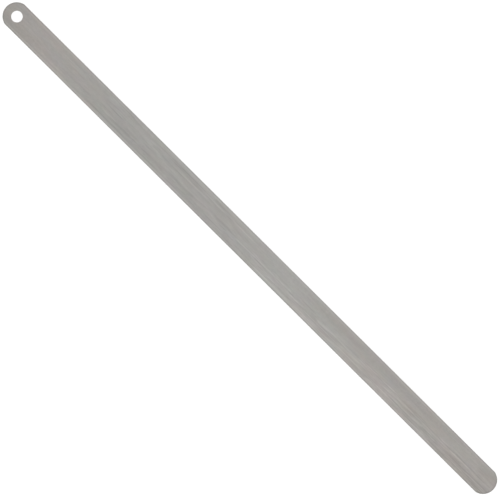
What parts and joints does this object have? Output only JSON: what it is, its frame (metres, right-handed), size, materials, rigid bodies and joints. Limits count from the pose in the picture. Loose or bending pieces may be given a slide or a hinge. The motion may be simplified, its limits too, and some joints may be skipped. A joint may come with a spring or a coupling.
{
  "type": "steel ruler",
  "caption": "Flexible steel ruler: a thin flat brushed strip with fully rounded ends and a round hanging hole near one tip.",
  "frame": {"origin": "middle of the underside, on the plane that the ruler lies on", "axes": "+X along the length, from the hanging hole's end to the plain end; +Y across the width; +Z out of the plain face, through the thickness"},
  "size_m": [0.315, 0.0126, 0.0005],
  "materials": {
    "brushed_steel": "satin",
    "scale_enamel": "matte"
  },
  "bodies": {
    "root": {"blade": "brushed_steel", "hanging_end": "brushed_steel"}
  },
  "joints": []
}
